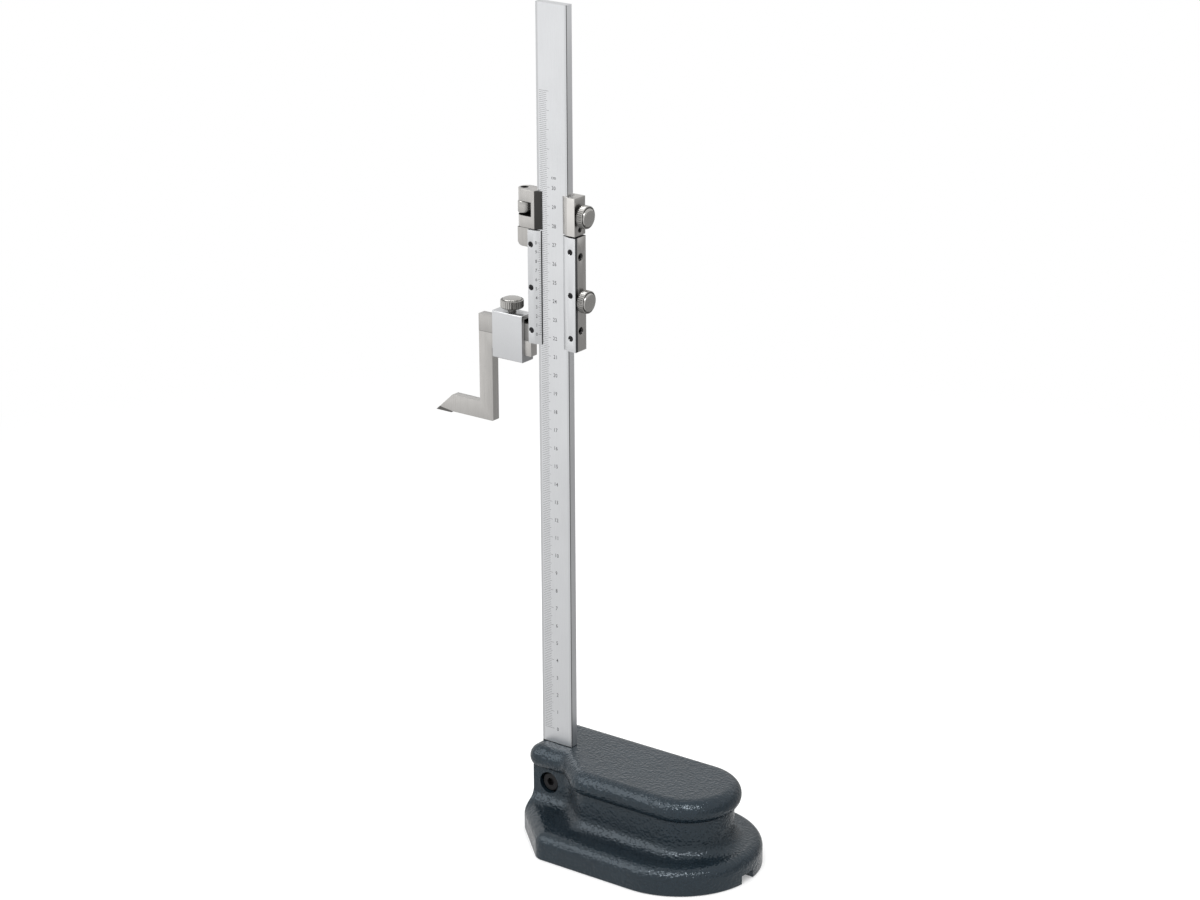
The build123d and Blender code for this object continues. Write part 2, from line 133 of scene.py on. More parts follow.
class GaugeScaleSettings(PropertyGroup):
    """Sizes of the graduations and numerals."""

    zero_height: length_setting("Zero Height", "Height of the beam's zero line above the underside", 55)
    reading: length_setting("Reading", "Height that the vernier shows at rest", 220.84)
    divisions: count_setting("Divisions", "Millimetre divisions along the beam", 350, 10)
    line_start: length_setting("Line Start", "Where the beam's lines start, from its middle", -7.75)
    short_end: length_setting("Short End", "Where a millimetre line ends", -3.2)
    half_end: length_setting("Half End", "Where a five-millimetre line ends", -2.5)
    long_end: length_setting("Long End", "Where a centimetre line ends", -1.6)
    line_width: length_setting("Line Width", "Width of an engraved line", 0.15)
    line_height: length_setting("Line Height", "How far the filling stands proud of the face", 0.012)
    numeral_height: length_setting("Numeral Height", "Height of the beam's numerals", 2.05)
    numeral_left: length_setting("Numeral Left", "Left side of a two-figure numeral", -0.2)
    vernier_divisions: count_setting("Vernier Divisions", "Divisions of the vernier", 50, 10)
    vernier_span: length_setting("Vernier Span", "Length of the whole vernier scale", 49)
    vernier_numeral: length_setting("Vernier Numeral", "Height of the vernier's numerals", 1.75)


class GaugeKnobSettings(PropertyGroup):
    """Knurling and heads of the small turned pieces."""

    knurls: count_setting("Knurls", "Ridges round a lock or clamp knob", 34, 12)
    knurl_depth: length_setting("Knurl Depth", "Depth of the ridges", 0.38)
    knob_round: length_setting("Knob Round", "Height of the rounded underside of a knob", 0.8)
    cap_height: length_setting("Cap Height", "Height of a knob's domed cap", 1.2)
    nut_knurls: count_setting("Nut Knurls", "Ridges round the adjusting nut", 60, 12)
    nut_knurl_depth: length_setting("Nut Knurl Depth", "Depth of the nut's ridges", 0.1)
    slot_width: length_setting("Slot Width", "Width of the slot in a plate screw", 0.45)
    slot_depth: length_setting("Slot Depth", "Depth of the slot in a plate screw", 0.35)


class GaugeFinishSettings(PropertyGroup):
    """Colours of the finishes."""

    enamel: colour_setting("Enamel", "Hammered enamel of the base casting", (0.007, 0.0125, 0.0175))
    chrome: colour_setting("Satin Chrome", "Beam, plates and clamp box", (0.78, 0.79, 0.805))
    steel: colour_setting("Ground Steel", "Slider body, carriage and scriber", (0.62, 0.605, 0.585))
    nickel: colour_setting("Nickel", "Knurled knobs and the adjusting nut", (0.55, 0.54, 0.52))
    ink: colour_setting("Filling", "Dark filling of lines and numerals", (0.03, 0.03, 0.033))


class GaugeStageSettings(PropertyGroup):
    """Floor, lamps and camera."""

    camera_place: FloatVectorProperty(
        name="Camera Place", description="Position of the camera", subtype="TRANSLATION",
        default=(1.0233, -1.3341, 0.8094), unit="LENGTH",
    )
    camera_yaw: angle_setting("Camera Yaw", "Turn of the camera about Z", 36.73)
    camera_pitch: angle_setting("Camera Pitch", "How far the camera looks down", 19.53)
    camera_roll: angle_setting("Camera Roll", "Turn of the camera about its view", 0.27)
    lens: FloatProperty(
        name="Lens", description="Focal length of the camera in millimetres", default=102.548,
    )
    floor_colour: colour_setting("Floor Colour", "Colour of the floor", (0.8, 0.8, 0.8))
    card_tone: level_setting("Card Tone", "Lightness of the grey card behind the gauge", 0.42, max=1)
    near_floor: level_setting("Near Floor", "Lightness of the mirrored floor close by", 0.7, max=1)
    world_level: level_setting("World Level", "Strength of the light from all round", 0.55)
    mirrored_level: level_setting("Mirrored Level", "Strength of the mirrored surroundings", 0.78)
    key_power: power_setting("Key Power", "Power of the large lamp at the left front", 18)
    top_power: power_setting("Top Power", "Power of the lamp above", 14)
    glint_power: power_setting("Glint Power", "Power of the long lamp that draws glints on the enamel", 30)


# ---- modelling helpers
def pick_only(obj):
    """Select one object and make it active."""
    bpy.ops.object.select_all(action="DESELECT")
    obj.select_set(True)
    bpy.context.view_layer.objects.active = obj


def pick_parts(obj, verts=None, faces=None):
    """Select vertices or faces of an object by a test, and enter edit mode with them."""
    if bpy.context.mode != "OBJECT":
        bpy.ops.object.mode_set(mode="OBJECT")
    pick_only(obj)
    mesh = obj.data
    for part in (mesh.vertices, mesh.edges, mesh.polygons):
        part.foreach_set("select", [False] * len(part))
    if verts is not None:
        for v in mesh.vertices:
            v.select = bool(verts(v.co))
        bpy.context.tool_settings.mesh_select_mode = (True, False, False)
    if faces is not None:
        for f in mesh.polygons:
            f.select = bool(faces(f))
        bpy.context.tool_settings.mesh_select_mode = (False, False, True)
    bpy.ops.object.mode_set(mode="EDIT")


def leave_edit():
    """Back to object mode."""
    bpy.ops.object.mode_set(mode="OBJECT")


def settle(obj, place=None):
    """Put an object at its place and write that place into its mesh."""
    pick_only(obj)
    if place is not None:
        obj.matrix_world = place
    bpy.ops.object.transform_apply(location=True, rotation=True, scale=True)


def join(objs, name):
    """Join objects into one with this name."""
    bpy.ops.object.select_all(action="DESELECT")
    for obj in objs:
        obj.select_set(True)
    bpy.context.view_layer.objects.active = objs[0]
    if len(objs) > 1:
        bpy.ops.object.join()
    obj = bpy.context.view_layer.objects.active
    obj.name = name
    obj.data.name = name
    return obj


def use_modifier(obj, kind, **values):
    """Add a modifier with these values and apply it."""
    pick_only(obj)
    mod = obj.modifiers.new(kind.title(), kind)
    for key, value in values.items():
        setattr(mod, key, value)
    bpy.ops.object.modifier_apply(modifier=mod.name)


def face_place(origin, across, normal):
    """Matrix that lays a flat piece on a face: its x goes across, its y goes up, its z goes out."""
    across = Vector(across).normalized()
    normal = Vector(normal).normalized()
    up = normal.cross(across)
    turn = Matrix((across, up, normal)).transposed().to_4x4()
    return Matrix.Translation(Vector(origin)) @ turn


def turned_solid(name, rings, sides):
    """Turned piece about Z from (height, radius) rings, made by extruding a disc ring by ring."""
    bpy.ops.object.select_all(action="DESELECT")
    length, radius = rings[0]
    bpy.ops.mesh.primitive_circle_add(
        vertices=sides, radius=radius, fill_type="NGON", location=(0, 0, length)
    )
    obj = bpy.context.object
    obj.name = name
    settle(obj)
    bpy.ops.object.mode_set(mode="EDIT")
    bpy.ops.mesh.select_mode(type="FACE")
    bpy.ops.mesh.select_all(action="SELECT")
    for next_length, next_radius in rings[1:]:
        bpy.ops.mesh.extrude_region_move(
            TRANSFORM_OT_translate={"value": (0, 0, next_length - length)}
        )
        ratio = next_radius / radius
        bpy.ops.transform.resize(value=(ratio, ratio, 1), center_override=(0, 0, next_length))
        length, radius = next_length, next_radius
    bpy.ops.mesh.select_all(action="SELECT")
    bpy.ops.mesh.normals_make_consistent(inside=False)
    leave_edit()
    return obj


def knurl(obj, low, high, ridges, depth):
    """Straight knurling: every other line of vertices between two heights is drawn inwards."""
    step = math.pi / ridges
    radius = max(math.hypot(v.co.x, v.co.y) for v in obj.data.vertices)

    def in_groove(co):
        if not low - TINY < co.z < high + TINY or math.hypot(co.x, co.y) < radius * 0.99:
            return False
        return round(math.atan2(co.y, co.x) / step) % 2 == 1

    pick_parts(obj, verts=in_groove)
    ratio = 1 - depth / radius
    bpy.ops.transform.resize(value=(ratio, ratio, 1), center_override=(0, 0, 0))
    leave_edit()


def smooth_by_angle(obj, degrees):
    """Smooth shading with sharp edges kept."""
    pick_only(obj)
    bpy.ops.object.shade_smooth_by_angle(angle=math.radians(degrees))


def dress(obj, body, finishes, replaced=()):
    """Give a finished piece its materials and body, and hide the nodes that it replaces."""
    chosen = [face.material_index for face in obj.data.polygons]
    obj.data.materials.clear()
    for name in finishes.split():
        obj.data.materials.append(material(name))
    last = len(obj.data.materials) - 1
    obj.data.polygons.foreach_set("material_index", [min(index, last) for index in chosen])
    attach(obj, body)
    if replaced:
        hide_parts(*replaced)
    return obj


def eased_copy(node, width):
    """Copy of a machined node with its facets merged and its edges eased."""
    bpy.ops.object.select_all(action="DESELECT")
    obj = NODES[node].copy()
    obj.data = NODES[node].data.copy()
    obj.parent = None
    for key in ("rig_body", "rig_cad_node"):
        if key in obj:
            del obj[key]
    bpy.context.scene.collection.objects.link(obj)
    pick_only(obj)
    bpy.ops.object.mode_set(mode="EDIT")
    bpy.ops.mesh.select_all(action="SELECT")
    bpy.ops.mesh.remove_doubles(threshold=TINY)
    bpy.ops.mesh.dissolve_limited(angle_limit=math.radians(0.5))
    leave_edit()
    if obj.data.has_custom_normals:
        bpy.ops.mesh.customdata_custom_splitnormals_clear()
    use_modifier(
        obj, "BEVEL", width=width, segments=2, limit_method="ANGLE",
        angle_limit=math.radians(40), harden_normals=False,
    )
    smooth_by_angle(obj, 30)
    return obj


# ---- shader helpers
def feed(tree, socket, value):
    """Link a socket to another one, or give it a value."""
    if isinstance(value, bpy.types.NodeSocket):
        tree.links.new(value, socket)
    else:
        socket.default_value = value


def new_group(name, inputs, outputs):
    """Shader node group with named sockets; returns the group, its input node and output node."""
    group = bpy.data.node_groups.new(name, "ShaderNodeTree")
    for label, kind, default in inputs:
        socket = group.interface.new_socket(label, in_out="INPUT", socket_type=kind)
        socket.default_value = default
    for label, kind in outputs:
        group.interface.new_socket(label, in_out="OUTPUT", socket_type=kind)
    return group, group.nodes.new("NodeGroupInput"), group.nodes.new("NodeGroupOutput")


def math_node(tree, operation, a, b, clamp=False):
    """Math node on two values or sockets; returns its output."""
    node = tree.nodes.new("ShaderNodeMath")
    node.operation = operation
    node.use_clamp = clamp
    feed(tree, node.inputs[0], a)
    feed(tree, node.inputs[1], b)
    return node.outputs[0]


def noise(tree, vector, scale, detail=2.0, rough=0.5):
    """Noise texture; returns its value."""
    node = tree.nodes.new("ShaderNodeTexNoise")
    node.inputs["Detail"].default_value = detail
    node.inputs["Roughness"].default_value = rough
    feed(tree, node.inputs["Vector"], vector)
    feed(tree, node.inputs["Scale"], scale)
    return node.outputs["Fac"]


def spread(tree, value, low, high, to_low=0.0, to_high=1.0, smooth=False):
    """Map Range from low..high to to_low..to_high; returns its result."""
    node = tree.nodes.new("ShaderNodeMapRange")
    if smooth:
        node.interpolation_type = "SMOOTHSTEP"
    labels = ("Value", "From Min", "From Max", "To Min", "To Max")
    for label, number in zip(labels, (value, low, high, to_low, to_high)):
        feed(tree, node.inputs[label], number)
    return node.outputs["Result"]


def mix_colour(tree, factor, a, b):
    """Mix two colours; returns the result."""
    node = tree.nodes.new("ShaderNodeMix")
    node.data_type = "RGBA"
    feed(tree, node.inputs[0], factor)
    for socket, value in ((node.inputs[6], a), (node.inputs[7], b)):
        feed(tree, socket, (*value, 1.0) if isinstance(value, tuple) else value)
    return node.outputs[2]


def grain_group():
    """Fine lay of a ground or brushed face: streaks along the scaled axes, with scratches."""
    group, inp, out = new_group(
        "ground_lay",
        [("Vector", VECTOR, (0, 0, 0)), ("Fineness", NUMBER, 6000.0)],
        [("Streaks", NUMBER), ("Height", NUMBER)],
    )
    fine = noise(group, inp.outputs["Vector"], inp.outputs["Fineness"], 3.0, 0.6)
    coarse_scale = math_node(group, "MULTIPLY", inp.outputs["Fineness"], 0.17)
    coarse = noise(group, inp.outputs["Vector"], coarse_scale)
    streaks = math_node(group, "ADD", math_node(group, "MULTIPLY", fine, 0.65),
                        math_node(group, "MULTIPLY", coarse, 0.35))
    group.links.new(streaks, out.inputs["Streaks"])
    group.links.new(streaks, out.inputs["Height"])
    return group


def hammer_group():
    """Hammered enamel: shallow cells with raised rims, and a slow drift of tone."""
    group, inp, out = new_group(
        "hammered_enamel",
        [("Vector", VECTOR, (0, 0, 0)), ("Cell Scale", NUMBER, 600.0)],
        [("Height", NUMBER), ("Tone", NUMBER), ("Drift", NUMBER)],
    )
    wobble = group.nodes.new("ShaderNodeTexNoise")
    wobble.inputs["Scale"].default_value = 260.0
    wobble.inputs["Detail"].default_value = 2.0
    group.links.new(inp.outputs["Vector"], wobble.inputs["Vector"])
    shift = group.nodes.new("ShaderNodeVectorMath")
    shift.operation = "MULTIPLY_ADD"
    shift.inputs[1].default_value = (0.0022,) * 3
    group.links.new(wobble.outputs["Color"], shift.inputs[0])
    group.links.new(inp.outputs["Vector"], shift.inputs[2])
    cells = group.nodes.new("ShaderNodeTexVoronoi")
    cells.feature = "SMOOTH_F1"
    cells.inputs["Smoothness"].default_value = 0.85
    group.links.new(shift.outputs[0], cells.inputs["Vector"])
    group.links.new(inp.outputs["Cell Scale"], cells.inputs["Scale"])
    ripple_scale = math_node(group, "MULTIPLY", inp.outputs["Cell Scale"], 0.8)
    ripple = noise(group, shift.outputs[0], ripple_scale, 1.5)
    height = math_node(group, "ADD", math_node(group, "MULTIPLY", cells.outputs["Distance"], 0.8),
                       math_node(group, "MULTIPLY", ripple, 0.75))
    tone = spread(group, height, 0.35, 1.0, 0.0, 1.0, smooth=True)
    drift = noise(group, inp.outputs["Vector"], 30.0, 3.0, 0.5)
    group.links.new(height, out.inputs["Height"])
    group.links.new(tone, out.inputs["Tone"])
    group.links.new(drift, out.inputs["Drift"])
    return group


def band_group():
    """Soft-edged box mask on object coordinates, for a zone of one piece."""
    group, inp, out = new_group(
        "zone_mask",
        [
            ("Vector", VECTOR, (0, 0, 0)), ("Low", VECTOR, (-1, -1, -1)),
            ("High", VECTOR, (1, 1, 1)), ("Softness", NUMBER, 0.00005),
        ],
        [("Mask", NUMBER)],
    )
    parts = []
    for label in ("Vector", "Low", "High"):
        node = group.nodes.new("ShaderNodeSeparateXYZ")
        group.links.new(inp.outputs[label], node.inputs[0])
        parts.append(node.outputs)
    mask = None
    for axis in range(3):
        above = math_node(group, "DIVIDE",
                          math_node(group, "SUBTRACT", parts[0][axis], parts[1][axis]),
                          inp.outputs["Softness"], clamp=True)
        below = math_node(group, "DIVIDE",
                          math_node(group, "SUBTRACT", parts[2][axis], parts[0][axis]),
                          inp.outputs["Softness"], clamp=True)
        both = math_node(group, "MULTIPLY", above, below)
        mask = both if mask is None else math_node(group, "MULTIPLY", mask, both)
    group.links.new(mask, out.inputs["Mask"])
    return group


def group_node(tree, group, **inputs):
    """Place a group in a material with its own values."""
    node = tree.nodes.new("ShaderNodeGroup")
    node.node_tree = group
    for label, value in inputs.items():
        feed(tree, node.inputs[label.replace("_", " ")], value)
    return node


def start_material(name, metallic=0.0, roughness=0.5, specular=0.5):
    """Material on object coordinates; returns the material, its tree, shader and coordinates."""
    mat = bpy.data.materials.new(name)
    mat.use_nodes = True
    tree = mat.node_tree
    shader = tree.nodes["Principled BSDF"]
    shader.inputs["Metallic"].default_value = metallic
    shader.inputs["Roughness"].default_value = roughness
    shader.inputs["Specular IOR Level"].default_value = specular
    coords = tree.nodes.new("ShaderNodeTexCoord")
    return mat, tree, shader, coords.outputs["Object"]


def stretched(tree, vector, stretch):
    """Mapping node that scales the coordinates, so that a pattern runs along one axis."""
    node = tree.nodes.new("ShaderNodeMapping")
    node.inputs["Scale"].default_value = stretch
    tree.links.new(vector, node.inputs["Vector"])
    return node.outputs["Vector"]


def add_bump(tree, shader, height, distance, strength=1.0):
    """Bump from a height, in metres."""
    bump = tree.nodes.new("ShaderNodeBump")
    bump.inputs["Strength"].default_value = strength
    bump.inputs["Distance"].default_value = distance
    tree.links.new(height, bump.inputs["Height"])
    tree.links.new(bump.outputs["Normal"], shader.inputs["Normal"])


def zone(shade, rough, **limits):
    """Box in which a metal changes: its low and high corner, colour factor and roughness.

    limits are x_low, x_high and so on, in metres. A side without one is open.
    """
    low = tuple(limits.get(axis + "_low", -OPEN_SIDE) for axis in "xyz")
    high = tuple(limits.get(axis + "_high", OPEN_SIDE) for axis in "xyz")
    return low, high, shade, rough


def shaded(colour, factor):
    """Colour times a factor, at most white."""
    return tuple(min(1.0, part * factor) for part in colour)


def metal(groups, name, colour, roughness, lay, fineness, contrast, height, zones=()):
    """Ground or brushed metal. lay scales the coordinates, and height is that of the streaks."""
    mat, tree, shader, vector = start_material(name, metallic=1.0)
    streaks = group_node(tree, groups["lay"], Vector=stretched(tree, vector, lay), Fineness=fineness)
    tone = spread(tree, streaks.outputs["Streaks"], 0.3, 0.7, 1.0 - contrast, 1.0 + contrast * 0.35)
    drift = spread(tree, noise(tree, vector, 38.0), 0.3, 0.7, 0.965, 1.02)
    level = math_node(tree, "MULTIPLY", tone, drift)
    base = mix_colour(tree, level, (0, 0, 0), tuple(colour))
    rough = spread(tree, streaks.outputs["Streaks"], 0.3, 0.7, roughness * 1.18, roughness * 0.86)
    for low, high, shade, zone_rough in zones:
        mask = group_node(tree, groups["zone"], Vector=vector, Low=low, High=high).outputs["Mask"]
        base = mix_colour(tree, mask, base, shaded(colour, shade))
        rough = spread(tree, mask, 0.0, 1.0, rough, zone_rough)
    tree.links.new(base, shader.inputs["Base Color"])
    tree.links.new(rough, shader.inputs["Roughness"])
    add_bump(tree, shader, streaks.outputs["Height"], height, 0.6)
    return mat


def enamel_material(groups, colour):
    """Hammered enamel with a slow drift of tone and gloss."""
    mat, tree, shader, vector = start_material("hammered enamel", roughness=0.14, specular=0.62)
    cells = group_node(tree, groups["hammer"], Vector=vector, Cell_Scale=800.0)
    base = mix_colour(tree, cells.outputs["Tone"], tuple(colour), shaded(colour, 1.55))
    drift = spread(tree, cells.outputs["Drift"], 0.35, 0.65, 0.0, 0.35)
    base = mix_colour(tree, drift, base, shaded(colour, 0.7))
    tree.links.new(base, shader.inputs["Base Color"])
    rough = spread(tree, cells.outputs["Drift"], 0.3, 0.7, 0.11, 0.19)
    tree.links.new(rough, shader.inputs["Roughness"])
    shader.inputs["Specular Tint"].default_value = (0.8, 0.91, 1.0, 1.0)
    add_bump(tree, shader, cells.outputs["Height"], 0.00042, 0.9)
    return mat


def filling_material(name, dark, light, span):
    """Matt filling of engraved lines; span is the part of the noise that goes from dark to light."""
    mat, tree, shader, vector = start_material(name, roughness=0.6, specular=0.3)
    patchy = noise(tree, vector, 900.0, 3.0, 0.6)
    base = mix_colour(tree, spread(tree, patchy, *span), dark, light)
    tree.links.new(base, shader.inputs["Base Color"])
    tree.links.new(spread(tree, patchy, 0.3, 0.7, 0.5, 0.7), shader.inputs["Roughness"])
    return mat


def oxide_material():
    """Black oxide of the small screws."""
    mat, tree, shader, vector = start_material("black oxide", metallic=0.6, roughness=0.34)
    speck = noise(tree, vector, 3200.0, 3.0, 0.6)
    base = mix_colour(tree, spread(tree, speck, 0.4, 0.65), (0.009, 0.009, 0.010), (0.028, 0.028, 0.03))
    tree.links.new(base, shader.inputs["Base Color"])
    tree.links.new(spread(tree, speck, 0.3, 0.7, 0.27, 0.42), shader.inputs["Roughness"])
    add_bump(tree, shader, speck, 0.00001, 0.5)
    return mat


def beam_zones():
    """Painted shade: strips outside the graduations and at the right, dark broken edge, and shadow at the
    joint with the base.
    """
    low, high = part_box("beam")
    base_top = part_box("base_casting")[1].z
    return (
        zone(0.78, 0.4, x_high=low.x + 1.35 * MM),
        zone(0.88, 0.4, x_low=high.x - 1.2 * MM, x_high=high.x),
        zone(0.25, 0.4, x_low=high.x - SKIN, y_low=low.y + 0.05 * MM, y_high=low.y + 0.95 * MM),
        # painted shadow in the slot where the beam stands in the base
        zone(0.08, 0.6, z_high=base_top + 0.35 * MM),
    )


def box_zones():
    """Painted shade: the right side of the clamp box, then its inside round the scriber."""
    low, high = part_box("clamp_box")
    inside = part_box("scriber")[1].y + 0.15 * MM
    return (
        zone(0.62, 0.34, x_low=high.x - 2 * SKIN),
        zone(0.02, 0.8, y_low=-inside, y_high=inside, z_low=low.z + 3.6 * MM, z_high=high.z - 2.1 * MM),
    )


def carriage_zones():
    """Painted shade on the lip beside the beam, in the window and the hole above it and on the right side;
    painted light on the right front.
    """
    low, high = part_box("carriage_body")
    window_low, window_high, window_side = 338.14 * MM, 345.74 * MM, -12.1 * MM
    hole_x, hole_reach = mean("fine_adjust_nut", 0), 2.15 * MM
    lip_low, lip_high, lip_back = -10.05 * MM, -6.2 * MM, -2.5 * MM
    # the front face right of here is painted lighter, a painted highlight
    painted_light_from = 7 * MM
    return (
        zone(0.1, 0.42, x_low=lip_low, x_high=lip_high, y_high=lip_back),
        zone(0.01, 0.8, x_high=window_side + SKIN, z_low=window_low - SKIN, z_high=window_high + SKIN),
        zone(0.01, 0.8, x_low=hole_x - hole_reach, x_high=hole_x + hole_reach, y_low=-hole_reach,
             y_high=hole_reach, z_low=window_high, z_high=high.z - 2 * SKIN),
        zone(1.25, 0.3, x_low=painted_light_from, x_high=high.x - 2 * SKIN, y_high=low.y + 2 * SKIN),
        zone(0.72, 0.32, x_low=high.x - 2 * SKIN),
    )


def build_materials(scene):
    """All finishes, by name."""
    finish = scene.gauge_finish
    groups = {"lay": grain_group(), "hammer": hammer_group(), "zone": band_group()}
    chrome, steel, nickel, ink = (
        tuple(value) for value in (finish.chrome, finish.steel, finish.nickel, finish.ink)
    )
    even, upright, level = (1.0, 1.0, 1.0), (1.0, 1.0, 0.03), (0.03, 1.0, 1.0)
    satin, ground = (9000.0, 0.06, 3e-6), (7000.0, 0.16, 4e-6)
    keeper_low, keeper_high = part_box("keeper_plate")
    # painted shade on the top faces of the slider, in the gap under the carriage
    slider_top_shade = zone(0.06, 0.6, z_low=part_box("slider_body")[1].z - 0.15 * MM)
    # painted shade on the keeper plate: a darker bevel strip at its left and a dark right edge
    keeper_zones = (
        zone(0.8, 0.4, x_high=keeper_low.x + 1.3 * MM),
        zone(0.15, 0.5, x_low=keeper_high.x - 2 * SKIN),
        slider_top_shade,
    )
    # painted shadow along the tip of the vernier plate
    vernier_zones = (zone(0.07, 0.5, x_low=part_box("vernier_plate")[1].x - 0.32 * MM),)
    scriber_zones = (zone(0.4, 0.5, z_low=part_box("scriber")[1].z - 0.2 * MM),)
    # key, name, colour, roughness, lay, fineness, contrast, height of the streaks in metres, zones
    plan = (
        ("beam", "satin chrome of the beam", chrome, 0.34, (1.0, 1.0, 0.04), 9000.0, 0.05, 2e-6,
         beam_zones()),
        ("box", "satin chrome of the clamp box", shaded(chrome, 0.91), 0.34, even, *satin,
         box_zones()),
        ("keeper", "satin chrome of the keeper plate", chrome, 0.34, even, *satin, keeper_zones),
        ("vernier", "satin chrome of the vernier plate", shaded(chrome, 0.91), 0.38, even, 9000.0,
         0.07, 3e-6, vernier_zones),
        ("steel_up", "ground steel, upright lay", shaded(steel, 0.9), 0.3, upright, *ground),
        ("slider", "ground steel of the slider", shaded(steel, 0.9), 0.3, upright, *ground,
         (slider_top_shade,)),
        ("steel_across", "ground steel, level lay", steel, 0.3, level, *ground),
        ("scriber", "ground steel of the scriber", shaded(steel, 0.96), 0.3, upright, *ground,
         scriber_zones),
        ("carriage", "ground steel of the carriage", steel, 0.28, upright, *ground,
         carriage_zones()),
        ("nickel", "nickel plate", nickel, 0.2, even, 5000.0, 0.14, 3e-6),
        # darker copy of the nickel: painted shade on knurl flanks, under the knobs and round their caps
        ("knurled", "knurled nickel plate", shaded(nickel, 0.3), 0.34, even, 5000.0, 0.2, 3e-6),
        ("brass", "turned brass", (0.72, 0.52, 0.25), 0.3, (0.05, 1.0, 1.0), 6000.0, 0.12, 3e-6),
        ("carbide", "ground hard metal", (0.16, 0.155, 0.15), 0.34, (1.0, 1.0, 0.05), 7000.0, 0.2,
         3e-6),
    )
    mats = {"enamel": enamel_material(groups, finish.enamel)}
    for key, *values in plan:
        mats[key] = metal(groups, *values)
    mats["black"] = oxide_material()
    mats["ink"] = filling_material("line filling", ink, shaded(ink, 2.6), (0.35, 0.7))
    mats["pale_ink"] = filling_material(
        "worn line filling", (0.075, 0.075, 0.08), (0.18, 0.18, 0.185), (0.3, 0.7),
    )
    return mats


MATERIALS = {}


def material(name):
    """A finish by name; all are built on first use."""
    if not MATERIALS:
        MATERIALS.update(build_materials(bpy.context.scene))
    return MATERIALS[name]


# ---- graduations and numerals
def ruled_lines(x_start, x_end, pitch, count, width, height):
    """Row of equal lines up the local y, each a shallow bar with eased rims."""
    bpy.ops.object.select_all(action="DESELECT")
    bpy.ops.mesh.primitive_cube_add(
        size=1, location=((x_start + x_end) / 2, 0, height / 2),
        scale=(x_end - x_start, width, height),
    )
    obj = bpy.context.object
    settle(obj)
    pick_parts(obj, faces=lambda f: f.normal.z > 0.9)
    bpy.ops.mesh.inset(thickness=width * 0.15, depth=height * 0.2)
    leave_edit()
    use_modifier(
        obj, "ARRAY", count=count, use_relative_offset=False, use_constant_offset=True,
        constant_offset_displace=(0, pitch, 0),
    )
    return obj


def numeral(text, size, depth, stretch=0.84):
    """Numerals as a flat mesh, size high, their lower left corner at the local origin."""
    bpy.ops.object.select_all(action="DESELECT")
    bpy.ops.object.text_add(location=(0, 0, 0))
    obj = bpy.context.object
    obj.data.body = text
    obj.data.resolution_u = 3
    obj.data.space_character = 1.12
    obj.data.offset = 0.008
    obj.data.extrude = 0.01
    pick_only(obj)
    bpy.ops.object.convert(target="MESH")
    obj = bpy.context.object
    xs = [v.co.x for v in obj.data.vertices]
    ys = [v.co.y for v in obj.data.vertices]
    scale = size / (max(ys) - min(ys))
    move = Matrix.Translation((-min(xs), -min(ys), 0.01))
    flat = Matrix.Diagonal((scale * stretch, scale, depth / 0.02, 1))
    settle(obj, flat @ move)
    return obj


def place_numeral(obj, x, y, across="LEFT"):
    """Move a numeral so that it is centred on y, and starts at or is centred on x."""
    width = max(v.co.x for v in obj.data.vertices)
    height = max(v.co.y for v in obj.data.vertices)
    if across == "CENTRE":
        x -= width / 2
    settle(obj, Matrix.Translation((x, y - height / 2, 0)))
    return obj


def lay_on(parts, name, place, body, finish):
    """Join flat pieces, lay them on a face and give them their finish."""
    obj = join(parts, name)
    settle(obj, place)
    dress(obj, body, finish)


class GAUGE_OT_beam_scale(Operator):
    """Add the millimetre graduations and the centimetre numerals to the beam"""

    bl_idname = "gauge.beam_scale"
    bl_label = "Beam Scale"

    def execute(self, context):
        s = context.scene.gauge_scale
        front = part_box("beam")[0].y
        place = face_place((0, front, s.zero_height), (1, 0, 0), (0, -1, 0))
        width, height = s.line_width, s.line_height
        rows = [
            ruled_lines(s.line_start, s.short_end, MM, s.divisions + 1, width, height),
            ruled_lines(s.short_end, s.half_end, 5 * MM, s.divisions // 5 + 1, width, height),
            ruled_lines(s.half_end, s.long_end, 10 * MM, s.divisions // 10 + 1, width, height),
        ]
        lay_on(rows, "beam_graduations", place, "base", "pale_ink")
        last_number, unit_place = 30, 305.2 * MM
        nought = numeral("0", s.numeral_height, height)
        figure = max(v.co.x for v in nought.data.vertices)
        one_figure, two_figures = s.numeral_left + figure * 0.75, s.numeral_left + figure * 1.2
        numerals = [place_numeral(nought, s.numeral_left + figure * 0.25, 0)]
        for number in range(1, last_number + 1):
            piece = numeral(str(number), s.numeral_height, height)
            centre = one_figure if number < 10 else two_figures
            numerals.append(place_numeral(piece, centre, number * 10 * MM, "CENTRE"))
        unit = numeral("cm", s.numeral_height * 0.6, height, 0.95)
        numerals.append(place_numeral(unit, two_figures, unit_place, "CENTRE"))
        lay_on(numerals, "beam_numerals", place, "base", "ink")
        return {"FINISHED"}


